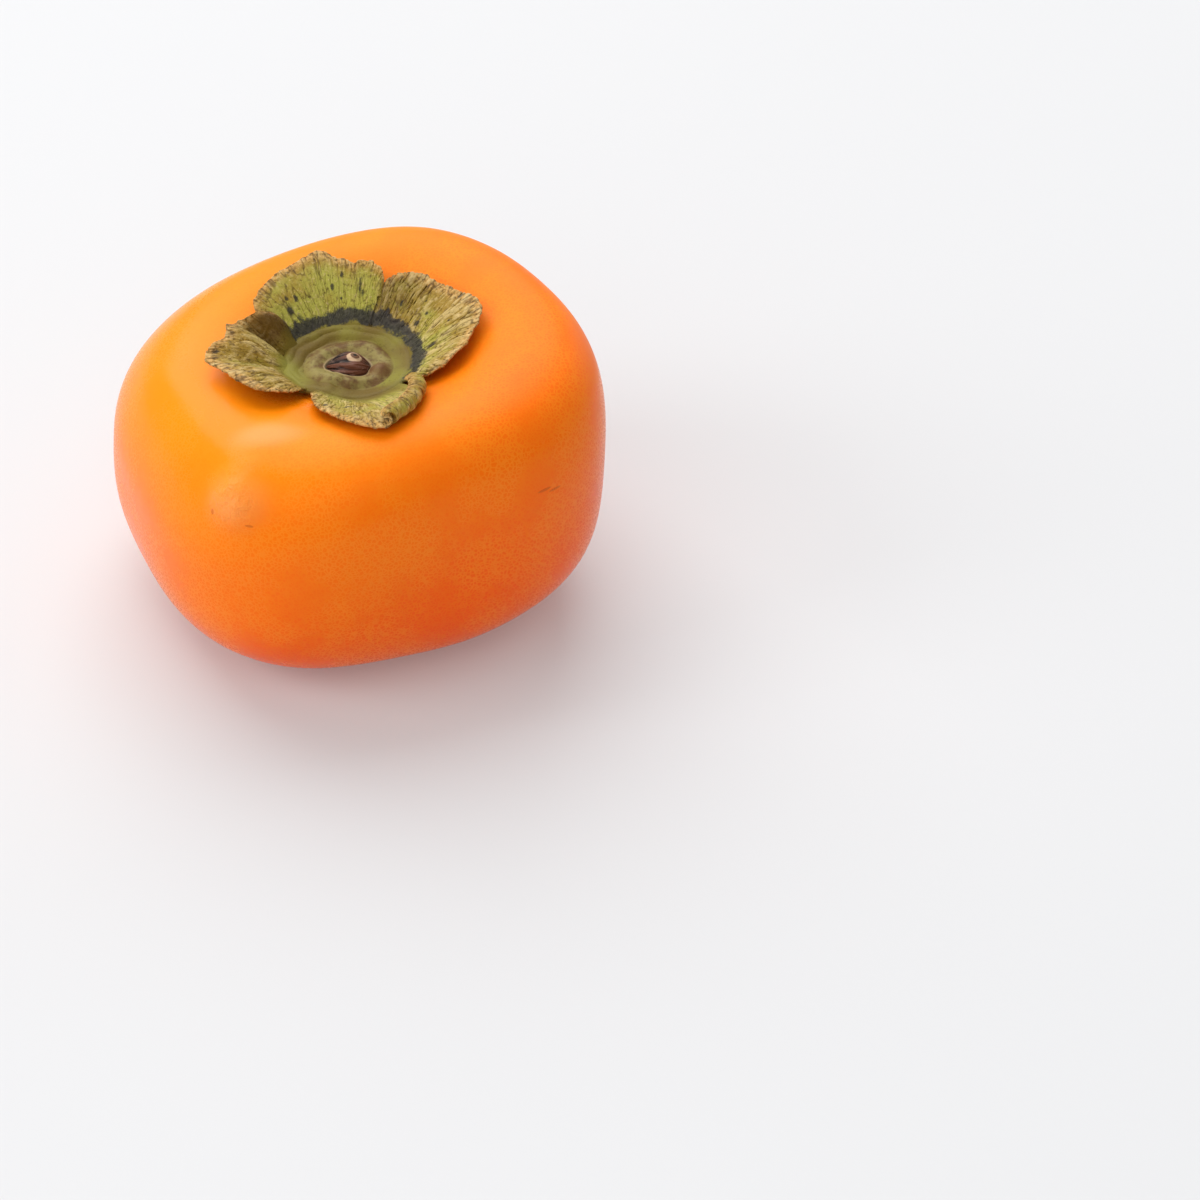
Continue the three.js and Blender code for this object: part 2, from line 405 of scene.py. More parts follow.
def disc_lift(distance, bearing):
    """How high the disc's upper side stands off the skin, in mm."""
    angle = radians(bearing)
    x, y = distance * cos(angle), distance * sin(angle)
    uneven = noise.noise(Vector((x / 5, y / 5, 4)))
    outline = PAD_EDGE + 0.5 * uneven + 0.25 * sin(2 * angle)
    pad = PAD_RISE * smooth_step(distance, outline + 0.4, outline - 1.5)
    hollow = PAD_HOLLOW * smooth_step(distance, outline - 1.3, SOCKET_RADIUS)
    socket = SOCKET_DEPTH * smooth_step(distance, SOCKET_RADIUS + 0.25, SOCKET_RADIUS)
    callus_away = hypot(x - CALLUS["x"], y - CALLUS["y"]) / CALLUS["reach"]
    callus = CALLUS["rise"] * exp(-3 * callus_away * callus_away)
    at_back = smooth_step(sin(angle - 0.4), -0.3, 0.6)
    sway = 5 * noise.noise(Vector((x / 4, y / 4, 9)))
    creases = CREASE_RISE * at_back * sin(distance * CREASES_PER_MM + sway)
    creases *= smooth_step(distance, outline, outline + 0.7)
    creases *= smooth_step(distance, DISC_EDGE, DISC_EDGE - 0.8)
    tuck = DISC_TUCK * smooth_step(distance, SEPAL_ROOT + 0.6, DISC_EDGE)
    return DISC_LIFT + pad - hollow - socket + callus + creases - tuck + 0.12 * uneven


def place_on_disc(share_round, share_out):
    """A place on the disc's upper side, from the socket out to its edge, with what the colour needs."""
    bearing = 360 * (1 - share_round)
    angle = radians(bearing)
    distance = SOCKET_RADIUS + (DISC_EDGE - SOCKET_RADIUS) * share_out
    x, y = distance * cos(angle), distance * sin(angle)
    callus_away = hypot(x - CALLUS["x"], y - CALLUS["y"]) / CALLUS["reach"]
    notes = {
        "pad": smooth_step(distance, PAD_EDGE + 0.6, PAD_EDGE - 0.6),
        "brown_and_shade": exp(-callus_away ** 2),
        "rim": smooth_step(distance, SOCKET_RADIUS + 0.8, SOCKET_RADIUS + 0.55),
        "gap_shade": smooth_step(distance, SOCKET_RADIUS + 0.5, SOCKET_RADIUS + 0.25),
    }
    return in_dish(bearing, distance, disc_lift(distance, bearing)), notes


calyx_disc = make_sheet("calyx_disc_leathery", 180, 60, DISC_THICKNESS, place_on_disc)

# The dried flesh of a flower's calyx, matt and leathery. The eye sees dull olive green, gone brown in
# blotches and on the pad, a few pale flecks, a ragged band of blue-black mould along the back, and
# painted shade in the narrow gap round the stalk.
CALYX_ROUGHNESS = 0.55
CALYX_GRAINS = {
    "broad": {"size": 7, "Detail": 3},
    "patches": {"size": 3, "Detail": 5, "Roughness": 0.6},
    "blotches": {"size": 1.6, "Detail": 4, "Roughness": 0.65},
    "ragged": {"size": 1.3, "Detail": 5, "Roughness": 0.75},
    "blots": {"size": 0.7, "Detail": 5, "Roughness": 0.7},
    "fine": {"size": 0.35, "Detail": 3, "Roughness": 0.7},
}
BOWL_BROWN = "#6d5820"
BOWL_GREEN = "#878030"
BOWL_SPECK = "#54431a"
PAD_BROWN = "#6c4f2c"
PAD_GREEN = "#8f8047"
PAD_SPECK = "#4a3418"
CALLUS_BROWN = "#6f4a2c"
RIM_PALE = "#b79a72"
GAP_SHADE = "#1c110a"
MOULD = "#1e1d23"
MOULD_GREY = "#403d3c"
MOULD_SHARE = 0.92
MOULD_START = 11.6
MOULD_END = 14.6
MOULD_FADE = 1
MOULD_RAGGED = 4
MOULD_SIDE = (0.5, 0.87, 0)
MOULD_SIDE_FADE = 1.5
FLECK_REACH = 0.45
FLECKS = [
    [75, 9.6, "#f3e3cf"], [69, 9.2, "#f3e3cf"], [19, 7.2, "#e8d8a8"],
    [33, 7.5, "#d8742a"], [232, 4.6, "#d9b48c"],
]


def read_note(material, note):
    """The value that a sheet keeps of each spot under a name."""
    return add_node(material, "Attribute", attribute_name=note)["Fac"]


def calyx_grain(material, place, name):
    """One of the calyx's grains, from the broad change of colour to the fine grit."""
    settings = dict(CALYX_GRAINS[name])
    scale = grain_scale(settings.pop("size"))
    return add_node(material, "TexNoise", {"Vector": place, "Scale": scale} | settings)["Fac"]


def bowl_colour(material, place, fine):
    """The colour of the disc, which the roots of the sepals share."""
    broad = calyx_grain(material, place, "broad")
    return paint(
        material, BOWL_BROWN,
        (BOWL_GREEN, broad, 0.4, 0.62, 1),
        (BOWL_SPECK, fine, 0.44, 0.3, 0.45),
    )


def lay_mould(material, place, fine, colour):
    """Lays the mould over a colour: a ragged band between two distances, along the back of the calyx."""
    centred = add_node(material, "VectorMath", {0: place, 1: calyx_middle}, operation="SUBTRACT")[0]
    flat = add_node(material, "VectorMath", {0: centred, 1: (1, 1, 0)}, operation="MULTIPLY")[0]
    distance = add_node(material, "VectorMath", {0: flat}, operation="LENGTH")["Value"]
    ragged = {0: calyx_grain(material, place, "ragged"), 1: MOULD_RAGGED * MM, 2: distance}
    ragged = add_node(material, "Math", ragged, operation="MULTIPLY_ADD")[0]
    to_back = add_node(material, "VectorMath", {0: centred, 1: MOULD_SIDE}, operation="DOT_PRODUCT")["Value"]
    share = 1
    for value, start, full in (
        (ragged, MOULD_START, MOULD_START + MOULD_FADE),
        (ragged, MOULD_END, MOULD_END - MOULD_FADE),
        (to_back, -MOULD_SIDE_FADE, MOULD_SIDE_FADE),
    ):
        ranges = {"Value": value, "From Min": start * MM, "From Max": full * MM}
        inside = add_node(material, "MapRange", ranges, interpolation_type="SMOOTHSTEP")["Result"]
        share = add_node(material, "Math", {0: share, 1: inside}, operation="MULTIPLY")[0]
    mould = paint(material, MOULD, (MOULD_GREY, fine, 0.3, 0.7, 1))
    return paint(material, colour, (mould, share, 0, 1, MOULD_SHARE))


leather, leather_shader = new_material(
    "leathery_green_calyx", Roughness=CALYX_ROUGHNESS, IOR=1.45, Specular_IOR_Level=0.22,
)
leather_place = add_node(leather, "TexCoord")["Object"]
leather_fine = calyx_grain(leather, leather_place, "fine")
pad_colour = paint(
    leather, PAD_BROWN,
    (PAD_GREEN, calyx_grain(leather, leather_place, "blotches"), 0.38, 0.6, 1),
    (PAD_SPECK, leather_fine, 0.45, 0.32, 0.5),
)
pale_rim = add_node(leather, "Math", {0: read_note(leather, "rim"), 1: 0.6}, operation="MULTIPLY")[0]
leather_colour = paint(
    leather, bowl_colour(leather, leather_place, leather_fine),
    (pad_colour, read_note(leather, "pad")),
    (CALLUS_BROWN, read_note(leather, "brown_and_shade"), 0, 1, 0.7),
    (RIM_PALE, pale_rim),
    # Painted shade in the narrow gap between the stalk and its socket.
    (GAP_SHADE, read_note(leather, "gap_shade")),
)
for fleck_bearing, fleck_distance, fleck_colour in FLECKS:
    fleck_spot = in_dish(fleck_bearing, fleck_distance, disc_lift(fleck_distance, fleck_bearing))
    flecked = near(leather, leather_place, fleck_spot, FLECK_REACH, stretch=(0.6, 1.4, 1))
    leather_colour = paint(leather, leather_colour, (fleck_colour, flecked))
leather_colour = lay_mould(leather, leather_place, leather_fine, leather_colour)
link(leather, leather_colour, leather_shader, "Base Color")
leather_relief = {"Height": leather_fine, "Strength": 0.5, "Distance": 0.2 * MM}
link(leather, add_node(leather, "Bump", leather_relief)["Normal"], leather_shader, "Normal")
finish_piece(calyx_disc, "calyx_disc", leather)


# ---------------------------------------------------------------------------------------------------------
# The sepals. Four broad lobes of the calyx, dried to a stiff, finely wrinkled leaf. Each leaves the disc
# between two clefts, rises up the side of the dish and ends in a wavy free edge. The front one's right
# half has rolled up towards the stalk.
# ---------------------------------------------------------------------------------------------------------
SEPAL_THICKNESS = 0.35
WRINKLE_RISE = 0.2
ROOT_TUCK = 0.35

# Bearings are in degrees and lengths in mm. An edge runs from the first cleft to the second, each point as
# [bearing, distance from the stalk, lift off the skin]. Pleats are folds along the leaf, as [share of the
# way between the clefts, rise]. Brown stretches, painted shade over leaf that is partly brown, are [share of
# the way, width, depth], and marks are dark spots, as [bearing, distance, reach across, reach along].
SEPALS = {
    "sepal_back_right": {
        "clefts": [-31, 73],
        "edge": [[-30, 14, 1.5], [-25, 17, 2], [-19, 18.1, 2.5], [-12, 19.1, 2.5], [-4, 19.7, 2.5],
                 [3, 20.8, 2.5], [9, 21.4, 2.5], [17, 21.2, 2.5], [24, 20.3, 2.5], [31, 19.7, 2.5],
                 [43, 18.9, 2.5], [52, 18.9, 2.5], [61, 18.1, 2.5], [67, 17.2, 2.5], [71, 16, 2.5],
                 [72, 14, 2], [72.6, 12, 1.5]],
        "pleats": [[0, 0], [0.12, 0.3], [0.25, -0.4], [0.4, 0.3], [0.55, -0.3], [0.75, 0.5],
                   [0.92, -0.5], [1, 0]],
        "wrinkling": 1.3, "dry": 0.08, "brown_and_shade": [[0.78, 0.14, 0.5]],
        "marks": [[35, 13.2, 0.6, 0.6], [5, 13.3, 0.4, 1.2], [25, 19.6, 0.4, 0.6], [61, 12.5, 0.4, 0.4],
                  [54, 14.1, 0.25, 0.8], [34, 14.9, 0.25, 0.3], [40, 16, 0.3, 0.3], [14, 16.5, 0.3, 0.3]],
    },
    "sepal_back_left": {
        "clefts": [72, 144],
        "edge": [[73, 11.8, 1.6], [71.5, 13.5, 2.5], [71, 15, 3], [72, 16.6, 3.4], [74.5, 17.7, 3.5],
                 [79, 18.3, 3.5], [85, 18.6, 3.5], [88.5, 18.1, 3.5], [92.5, 19, 3.5], [97, 19.4, 3.5],
                 [100.5, 20.6, 3.5], [105, 21.5, 3.5], [110.5, 20.9, 3.5], [117, 20.3, 3.5],
                 [126, 19.9, 3.5], [136, 19.1, 3.5], [145, 18.4, 3], [149, 17, 2.5], [146, 13, 1.8]],
        "pleats": [[0, 0.5], [0.12, -0.5], [0.3, 0.1], [0.5, -0.2], [0.75, 0.1], [1, 0]],
        "wrinkling": 0.45, "dry": -0.02, "brown_and_shade": [[0.05, 0.08, 0.5]],
        "marks": [[125, 15.2, 0.55, 0.7], [131, 15.5, 0.5, 0.5], [133, 13.9, 0.6, 1], [130, 12.6, 0.7, 0.8],
                  [101, 15.3, 0.35, 0.7], [95, 16.6, 0.3, 0.6], [96, 13.7, 0.3, 0.35], [84, 14.8, 0.4, 1.6],
                  [82, 14, 0.35, 0.6]],
    },
    "sepal_left": {
        "clefts": [142, 228],
        "edge": [[150, 11, 2.8], [150, 12.5, 4], [154.3, 13.9, 5], [159.3, 15.7, 5], [162, 17.6, 4],
                 [166, 18.6, 4], [170, 19.3, 4], [174.3, 19.1, 3.5], [180, 19.2, 3], [184, 21.1, 3],
                 [188.5, 22.1, 3], [193, 22.4, 3], [199, 20.9, 2.5], [206, 20.3, 2.5], [215, 19.6, 2.5],
                 [224, 18.4, 2.5], [231, 16.2, 2.5], [234, 12.5, 1.8]],
        "pleats": [[0, 0], [0.14, 0.5], [0.3, -1.9], [0.42, 0.9], [0.5, 0.8], [0.62, -0.7],
                   [0.8, 1.2], [1, -0.2]],
        "wrinkling": 1.1, "dry": 0.2, "brown_and_shade": [[0.15, 0.16, 0.9]],
        "marks": [[188, 20.6, 0.4, 0.9]],
    },
    "sepal_front": {
        "clefts": [229, 328],
        "edge": [[244, 12, 1.4], [251, 14.5, 1.5], [255, 16, 1.5], [263, 18.2, 1.5], [271, 21, 1.5],
                 [278, 23.6, 1.5], [284, 25.1, 1.5], [289.5, 25.4, 1.7], [291, 24.4, 2.5], [295, 23.6, 2.5],
                 [300, 22.6, 2.5], [305, 21.2, 2.5], [310, 19.6, 2.5], [315, 18, 2.6], [321, 16.2, 2.8],
                 [328, 13.8, 2.8]],
        "pleats": [[0, 0], [0.3, 0.2], [0.6, -0.3], [1, 0]],
        "wrinkling": 1.0, "dry": 0.08, "brown_and_shade": [],
        "marks": [[259, 15.3, 0.5, 0.5], [288, 24.5, 0.3, 0.3], [275, 16, 1.6, 0.3]],
        "roll": [0.42, 0.54],
    },
}
ROLL_RADIUS = 1.5
ROLL_TURN = 250
ROLL_LIFT = 0.8


def along_curve(points, share):
    """The place at a share from 0 to 1 along a smooth curve through evenly weighted points."""
    at = share * (len(points) - 1)
    i = min(int(at), len(points) - 2)
    t = at - i
    last = len(points) - 1
    before, start, end, after = (Vector(points[max(0, min(j, last))]) for j in range(i - 1, i + 3))
    pull_in, pull_out = (end - before) / 2, (after - start) / 2
    return (
        start * (2 * t ** 3 - 3 * t ** 2 + 1) + pull_in * (t ** 3 - 2 * t ** 2 + t)
        + end * (3 * t ** 2 - 2 * t ** 3) + pull_out * (t ** 3 - t ** 2)
    )


def pleat_rise(pleats, turn):
    """The rise of the pleats at a share of the way from the first cleft to the second."""
    for (low, low_rise), (high, high_rise) in zip(pleats, pleats[1:]):
        if turn <= high:
            return low_rise + (high_rise - low_rise) * smooth_step(turn, low, high)
    return pleats[-1][1]


def wrinkles(across, along, seed):
    """How high a spot stands among a drying leaf's folds, from about -1 to 1, at a place given in mm."""
    sway = 1.6 * noise.noise(Vector((across / 5, along / 5, seed)))
    broad = noise.noise(Vector(((across + sway) / 1.2, along / 8, seed)))
    crease = 0.3 - abs(noise.noise(Vector(((across + sway) / 0.42, along / 3, seed + 3))))
    fine = noise.noise(Vector((across / 0.3, along / 1.5, seed + 7)))
    return 0.7 * broad + 1.6 * crease + 0.5 * fine


def make_sepal(name, shape, seed):
    """One sepal, made as a sheet from its entry in the table."""
    first, last = shape["clefts"]

    def place(share_round, share_out):
        turn = 1 - share_round
        end = along_curve(shape["edge"], turn)
        root_bearing = first + (last - first) * turn
        bearing = root_bearing + (end.x - root_bearing) * smooth_step(share_out, 0, 0.35)
        crinkle = 0.25 * noise.noise(Vector((end.x / 3, seed, 0)))
        crinkle += 0.12 * noise.noise(Vector((end.x, seed, 5)))
        distance = SEPAL_ROOT + (end.y - SEPAL_ROOT + crinkle) * share_out
        root_lift = disc_lift(SEPAL_ROOT, root_bearing)
        lift = root_lift + (end.z - root_lift) * smooth_step(share_out, 0.05, 0.9)
        lift -= ROOT_TUCK * smooth_step(distance, SEPAL_ROOT + 1.1, SEPAL_ROOT)
        lift += pleat_rise(shape["pleats"], turn) * sin(pi * min(share_out, 0.8))
        fold = wrinkles(15 * radians(bearing), distance, seed) * shape["wrinkling"]
        fold *= smooth_step(distance, 9.6, 12.5)
        spot = in_dish(bearing, distance, lift + WRINKLE_RISE * fold)
        if "roll" in shape:
            rolled = smooth_step(turn, *shape["roll"])
            spot = spot.lerp(place_on_roll(turn, share_out, root_bearing, root_lift, fold), rolled)
        near_edge = smooth_step(share_out, 0.8, 1)
        # Brown stretches: painted shade over leaf that is partly brown.
        brown_and_shade = 0
        for at, width, depth in shape["brown_and_shade"]:
            here = depth * exp(-((turn - at) / width) ** 2) * smooth_step(share_out, 0.15, 0.5)
            brown_and_shade = max(brown_and_shade, here)
        mark = 0
        for mark_bearing, mark_distance, across, along in shape["marks"]:
            aside = distance * radians(bearing - mark_bearing) / across
            mark = max(mark, exp(-(aside ** 2 + ((distance - mark_distance) / along) ** 2)))
        notes = {
            "fold": fold,
            "dry": shape["dry"] + 0.25 * share_out + 0.45 * near_edge,
            "brown_and_shade": brown_and_shade * (1 - 0.7 * near_edge),
            "mark": mark,
            "leafy": smooth_step(distance, 9.8, 12),
        }
        return spot, notes

    def edge_point(turn):
        end = along_curve(shape["edge"], min(max(turn, 0), 1))
        angle = radians(end.x)
        return Vector((end.y * cos(angle), end.y * sin(angle), end.z))

    def place_on_roll(turn, share_out, root_bearing, root_lift, fold):
        """The inner half of the leaf runs to the heart of the roll, and the outer half winds round it."""
        end = edge_point(turn)
        run = edge_point(turn + 0.02) - edge_point(turn - 0.02)
        outwards = Vector((-run.y, run.x, 0)).normalized()
        outwards *= 1 if outwards.dot(end) > 0 else -1
        heart = end - outwards * ROLL_RADIUS
        angle = radians(root_bearing)
        root = Vector((SEPAL_ROOT * cos(angle), SEPAL_ROOT * sin(angle), 0))
        if share_out < 0.5:
            flat = root.lerp(heart, share_out / 0.5)
            lift = root_lift + (ROLL_LIFT - root_lift) * smooth_step(share_out, 0.15, 0.5)
            lift -= ROOT_TUCK * smooth_step(flat.length, SEPAL_ROOT + 1.1, SEPAL_ROOT)
            return over_dish(flat.x, flat.y, lift + 0.5 * WRINKLE_RISE * fold)
        winding = radians(ROLL_TURN * (share_out - 0.5) / 0.5 - 90)
        radius = ROLL_RADIUS * (1 - 0.25 * (share_out - 0.5)) + WRINKLE_RISE * fold
        rolled = over_dish(heart.x, heart.y, ROLL_LIFT + ROLL_RADIUS + radius * sin(winding))
        return rolled + outwards * radius * cos(winding) * MM

    return make_sheet(name + "_dried", 220, 120, SEPAL_THICKNESS, place)


# The dried leaf of the calyx, papery and matt. The eye sees green where it is still fleshy, then olive and
# tan towards the edge, with painted highlight on the crests and painted shade in the troughs of its folds
# and wrinkles, dark veins, brown stretches deepened by painted shade, and blots of dark mould.
SEPAL_GREEN = "#aba545"
SEPAL_OLIVE = "#9e802f"
SEPAL_TAN = "#d3a25c"
SEPAL_DULL_TAN = "#97702f"
SEPAL_CREST_HIGHLIGHT = "#d6bb80"
SEPAL_CREASE_SHADE_AND_VEIN = "#442a0c"
SEPAL_BROWN_SHADE = "#5a3c12"
LEAF_ACROSS, LEAF_ALONG = 28, 11
STREAK_ACROSS, STREAK_ALONG = 0.35, 2.2
VEIN_ACROSS, VEIN_ALONG = 1.75, 10
VEIN_WIDTH = 0.02

leaf, leaf_shader = new_material(
    "dried_wrinkled_sepal", Roughness=CALYX_ROUGHNESS, IOR=1.45, Specular_IOR_Level=0.22,
)
leaf_place = add_node(leaf, "TexCoord")["Object"]
leaf_patches, leaf_blots, leaf_fine = (
    calyx_grain(leaf, leaf_place, name) for name in ("patches", "blots", "fine")
)
# The map runs once across a leaf and once along it, so a pattern's scale is the leaf's size by its own.
leaf_map = add_node(leaf, "TexCoord")["UV"]
streaked = {"Vector": leaf_map, "Scale": (LEAF_ACROSS / STREAK_ACROSS, LEAF_ALONG / STREAK_ALONG, 1)}
streaked = add_node(leaf, "Mapping", streaked)["Vector"]
streaks = add_node(leaf, "TexNoise", {"Vector": streaked, "Scale": 1, "Detail": 5})["Fac"]
veined = {"Vector": leaf_map, "Scale": (LEAF_ACROSS / VEIN_ACROSS, LEAF_ALONG / VEIN_ALONG, 1)}
veined = add_node(leaf, "Mapping", veined)["Vector"]
veins = add_node(leaf, "TexNoise", {"Vector": veined, "Scale": 1, "Detail": 2})["Fac"]
veins = add_node(leaf, "Math", {0: veins, 1: 0.5}, operation="SUBTRACT")[0]
veins = add_node(leaf, "Math", {0: veins}, operation="ABSOLUTE")[0]
dryness = {0: leaf_patches, 1: 0.9, 2: read_note(leaf, "dry")}
dryness = add_node(leaf, "Math", dryness, operation="MULTIPLY_ADD")[0]
fold = read_note(leaf, "fold")
leafy = read_note(leaf, "leafy")
marked = {0: leaf_blots, 1: 2.2, 2: read_note(leaf, "mark")}
marked = add_node(leaf, "Math", marked, operation="MULTIPLY_ADD")[0]

leaf_colour = paint(
    leaf, SEPAL_GREEN,
    (SEPAL_OLIVE, dryness, 0.45, 0.8, 1),
    (paint(leaf, SEPAL_DULL_TAN, (SEPAL_TAN, leaf_fine, 0.35, 0.62, 1)), dryness, 0.7, 1.2, 1),
    # Painted shade in the troughs and painted highlight on the crests of the folds, streaks and fine grain;
    # the veins are dark.
    (SEPAL_CREASE_SHADE_AND_VEIN, fold, -0.1, -1, 0.8),
    (SEPAL_CREST_HIGHLIGHT, fold, 0.1, 1, 0.65),
    (SEPAL_CREASE_SHADE_AND_VEIN, streaks, 0.43, 0.28, 0.75),
    (SEPAL_CREST_HIGHLIGHT, streaks, 0.56, 0.75, 0.5),
    (SEPAL_CREASE_SHADE_AND_VEIN, leaf_fine, 0.46, 0.32, 0.6),
    (SEPAL_CREASE_SHADE_AND_VEIN, veins, VEIN_WIDTH, 0, 0.6),
    (SEPAL_CREST_HIGHLIGHT, leaf_fine, 0.56, 0.68, 0.45),
    # Painted shade in the brown stretches beside the clefts.
    (SEPAL_BROWN_SHADE, read_note(leaf, "brown_and_shade")),
)
leaf_colour = paint(
    leaf, bowl_colour(leaf, leaf_place, leaf_fine),
    (leaf_colour, leafy),
    (MOULD, marked, 1.45, 1.95, 0.85),
)
leaf_colour = lay_mould(leaf, leaf_place, leaf_fine, leaf_colour)
link(leaf, leaf_colour, leaf_shader, "Base Color")
leaf_height = add_node(leaf, "Math", {0: leaf_fine, 1: 0.8, 2: streaks}, operation="MULTIPLY_ADD")[0]
leaf_height = add_node(leaf, "Math", {0: leaf_height, 1: leafy}, operation="MULTIPLY")[0]
leaf_relief = {"Height": leaf_height, "Strength": 0.8, "Distance": 0.35 * MM}
link(leaf, add_node(leaf, "Bump", leaf_relief)["Normal"], leaf_shader, "Normal")
for seed, (name, shape) in enumerate(SEPALS.items()):
    finish_piece(make_sepal(name, shape, 10 * seed), name, leaf)


# ---------------------------------------------------------------------------------------------------------
# The stub of the stalk. Wood, dark and split along its fibres, left in its socket when the fruit was cut
# from the twig, with the round scar of a bud on top.
# ---------------------------------------------------------------------------------------------------------
STUB_LENGTH = 7
STUB_WIDTH = 6.4
STUB_BASE = 1.3
STUB_TOP = 3.7
RIDGE_RISE = 0.144
LEFT_PINCH = 0.42
RIGHT_PINCH = 0.26
SCAR = {"x": 1.0, "y": 0.4, "reach": 1.2, "rise": 0.2}

bpy.ops.object.select_all(action="DESELECT")
bpy.ops.mesh.primitive_uv_sphere_add(segments=180, ring_count=120, radius=1)
stub = bpy.context.active_object
stub.name = "stalk_stub_woody"
stub_ridges = stub.data.attributes.new("ridge", "FLOAT", "POINT")
dish_bottom = skin_under(calyx_middle.x, calyx_middle.y) / MM
for vertex in stub.data.vertices:
    x, y, z = vertex.co
    round_fibres = atan2(z, y)
    ridge = noise.noise(Vector((x * 0.9, 3.2 * cos(round_fibres), 3.2 * sin(round_fibres))))
    ridge += 0.5 * noise.noise(Vector((x * 2, 8 * cos(round_fibres), 8 * sin(round_fibres))))
    away = hypot(x * STUB_LENGTH / 2 - SCAR["x"], y * STUB_WIDTH / 2 - SCAR["y"]) / SCAR["reach"]
    scar = exp(-2 * away ** 4)
    out = 1 + RIDGE_RISE * ridge * (1 - scar)
    pinch = 1 - (LEFT_PINCH if x < 0 else RIGHT_PINCH) * abs(x) ** 1.7
    height = max(z, -0.5)
    height = (height ** 0.5 if height > 0 else height) * (1 - 0.35 * x * x) + SCAR["rise"] * scar
    stub_ridges.data[vertex.index].value = ridge
    vertex.co = calyx_middle + MM * Vector((
        x * (1 + 0.3 * (out - 1)) * STUB_LENGTH / 2,
        y * out * pinch * STUB_WIDTH / 2,
        dish_bottom + STUB_BASE + (STUB_TOP - STUB_BASE) * height * out,
    ))

# Old twig wood, torn and dried dark. The eye sees near-black painted shade in the grooves between red-brown
# ridges, a few pale broken fibres, and the scar's pale ring round a dark dot.
WOOD_GROOVE_SHADE = "#1a0d07"
WOOD_RIDGE = "#643a28"
WOOD_FIBRE = "#a98878"
FIBRE_SIZE = 0.35
SCAR_RINGS = [
    {"shift": 0, "reach": 1.3, "core": 0.8, "colour": "#cdac8a"},
    {"shift": 0.15, "reach": 0.8, "core": 0.8, "colour": "#6b4a34"},
    {"shift": 0.15, "reach": 0.35, "core": 0.6, "colour": "#140b08"},
]

wood, wood_shader = new_material("split_dark_wood", Roughness=0.5, IOR=1.45, Specular_IOR_Level=0.2)
wood_place = add_node(wood, "TexCoord")["Object"]
lengthwise = add_node(wood, "Mapping", {"Vector": wood_place, "Scale": (0.25, 1, 1)})["Vector"]
fibre_noise = {"Vector": lengthwise, "Scale": grain_scale(FIBRE_SIZE), "Detail": 4, "Roughness": 0.65}
fibres = add_node(wood, "TexNoise", fibre_noise)["Fac"]
# Near-black painted shade in the grooves, red-brown on the ridges.
wood_colour = paint(
    wood, WOOD_GROOVE_SHADE,
    (WOOD_RIDGE, read_note(wood, "ridge"), -0.35, 0.3, 1),
    (WOOD_FIBRE, fibres, 0.52, 0.75, 0.55),
)
seen_from_above = add_node(wood, "VectorMath", {0: wood_place, 1: (1, 1, 0)}, operation="MULTIPLY")[0]
for ring in SCAR_RINGS:
    ring_middle = calyx_middle + Vector((SCAR["x"] + ring["shift"], SCAR["y"], 0)) * MM
    in_ring = near(wood, seen_from_above, ring_middle, ring["reach"], core=ring["core"])
    wood_colour = paint(wood, wood_colour, (ring["colour"], in_ring))
link(wood, wood_colour, wood_shader, "Base Color")
wood_relief = {"Height": fibres, "Strength": 0.6, "Distance": 0.2 * MM}
link(wood, add_node(wood, "Bump", wood_relief)["Normal"], wood_shader, "Normal")
finish_piece(stub, "stem_stub", wood)


# ---------------------------------------------------------------------------------------------------------
# The dried tip of the flower. The withered end of the style, left as a ribbed point in the dimple of the
# blossom end, under the fruit.
# ---------------------------------------------------------------------------------------------------------
TIP_RIBS = 6
TIP_RIB_RISE = 0.12
CHAR_SIZE = 0.3

bpy.ops.object.select_all(action="DESELECT")
bpy.ops.mesh.primitive_uv_sphere_add(segments=32, ring_count=20, radius=1)
tip = bpy.context.active_object
tip.name = "blossom_tip_dried"
tip_middle = (tip_low + tip_high) / 2
tip_half = (tip_high - tip_low) / 2
for vertex in tip.data.vertices:
    x, y, z = vertex.co
    width = (1 + TIP_RIB_RISE * cos(TIP_RIBS * atan2(y, x)) * (1 - z * z)) * (0.75 + 0.25 * z)
    vertex.co = tip_middle + Vector((x * tip_half.x * width, y * tip_half.y * width, z * tip_half.z))

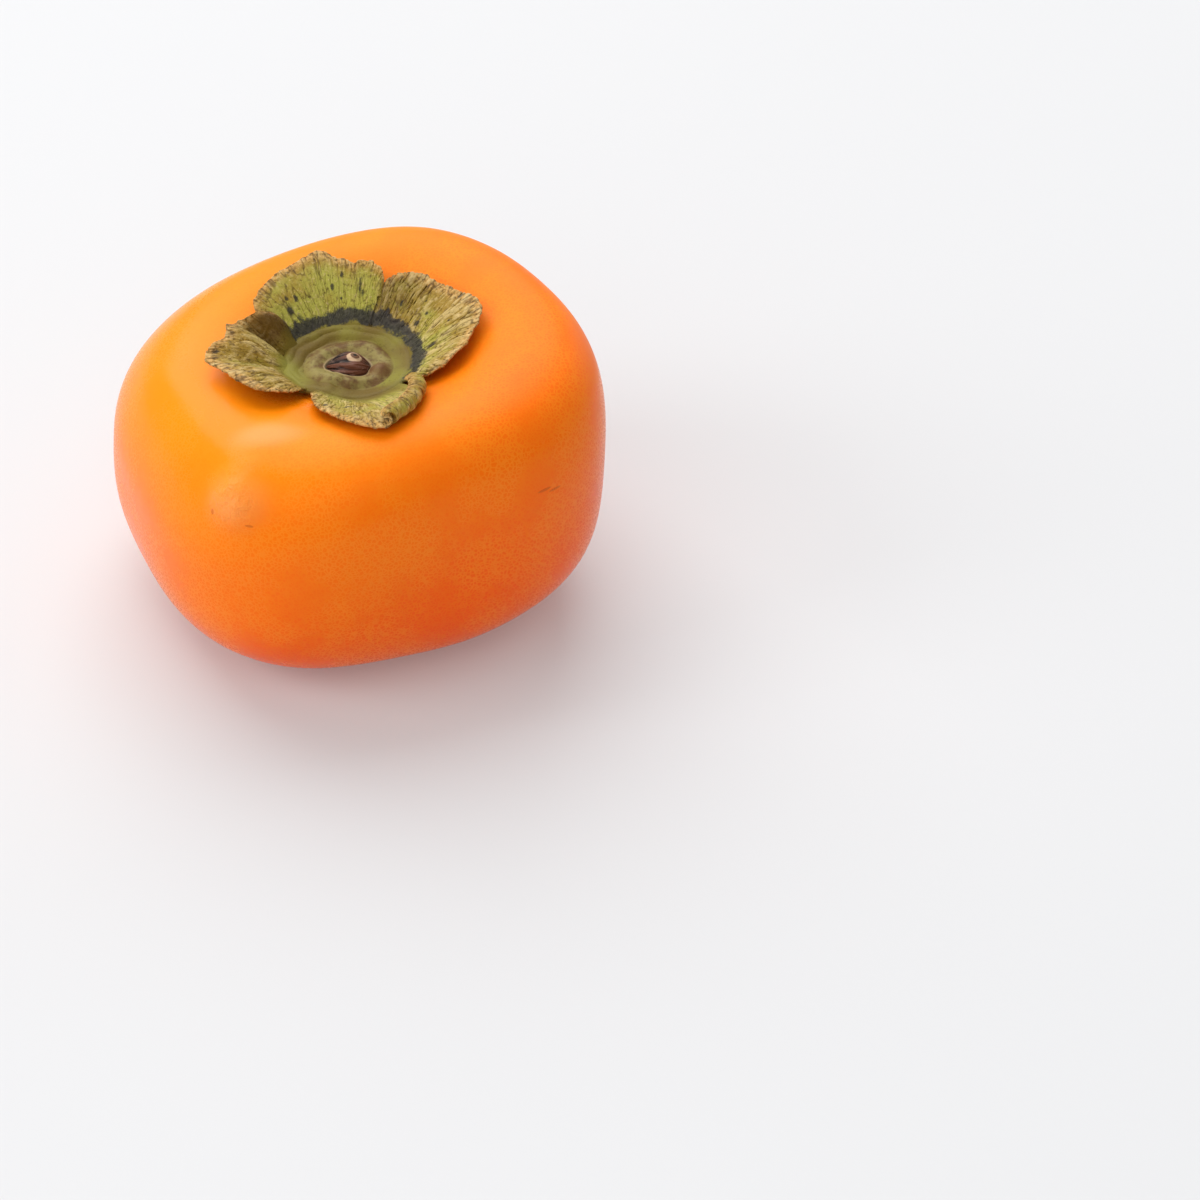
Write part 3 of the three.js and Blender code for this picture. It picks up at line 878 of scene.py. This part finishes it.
# Withered flower, matt and brittle: black-brown, with a grain of paler brown.
char, char_shader = new_material("black_dry_flower_tip", Roughness=0.8, IOR=1.45)
char_place = add_node(char, "TexCoord")["Object"]
char_grain = add_node(char, "TexNoise", {"Vector": char_place, "Scale": grain_scale(CHAR_SIZE)})["Fac"]
link(char, paint(char, "#1b120d", ("#4a3222", char_grain)), char_shader, "Base Color")
finish_piece(tip, "blossom_tip", char)


# ---------------------------------------------------------------------------------------------------------
# The ground and the light: a plain white floor that is faintly lit from below, white light from all round,
# a broad soft light over the back left, and softer ones to the left, the right and the front.
# ---------------------------------------------------------------------------------------------------------
FLOOR_SIZE = 6
FLOOR_GLOW = 0.12
WORLD_STRENGTH = 0.42
LIGHTS = {
    "key_light": {"bearing": 108, "rise": 50, "distance": 2.2, "size": 2.4, "power": 52},
    "left_light": {"bearing": -166, "rise": 32, "distance": 1.5, "size": 0.7, "power": 6},
    "right_light": {"bearing": 50, "rise": 16, "distance": 1.8, "size": 0.9, "power": 3},
    "front_fill": {"bearing": -110, "rise": 42, "distance": 2.0, "size": 2.2, "power": 15},
}

bpy.ops.object.select_all(action="DESELECT")
bpy.ops.mesh.primitive_plane_add(size=FLOOR_SIZE)
floor = bpy.context.active_object
floor.name = "floor"
paper, _ = new_material(
    "white_paper_ground",
    Base_Color=linear("#cacacb"), Roughness=0.9,
    Emission_Color=linear("#ffffff"), Emission_Strength=FLOOR_GLOW,
)
floor.data.materials.append(paper)

world = bpy.data.worlds.new("white_room")
world.use_nodes = True
world.node_tree.nodes["Background"].inputs["Color"].default_value = linear("#f8fafc")
world.node_tree.nodes["Background"].inputs["Strength"].default_value = WORLD_STRENGTH
bpy.context.scene.world = world

for name, light in LIGHTS.items():
    lamp = bpy.data.objects.new(name, bpy.data.lights.new(name, "AREA"))
    lamp.data.size = light["size"]
    lamp.data.energy = light["power"]
    bearing, rise = radians(light["bearing"]), radians(light["rise"])
    outwards = Vector((cos(bearing) * cos(rise), sin(bearing) * cos(rise), sin(rise)))
    lamp.location = light["distance"] * outwards + Vector((0, 0, cad_box[1].z / 2))
    lamp.rotation_euler = outwards.to_track_quat("Z", "Y").to_euler()
    # The fill lifts the shaded side without drawing its own square on the wax.
    lamp.visible_glossy = name != "front_fill"
    bpy.context.collection.objects.link(lamp)
bpy.context.scene.view_settings.view_transform = "Standard"
bpy.context.scene.view_settings.look = "None"
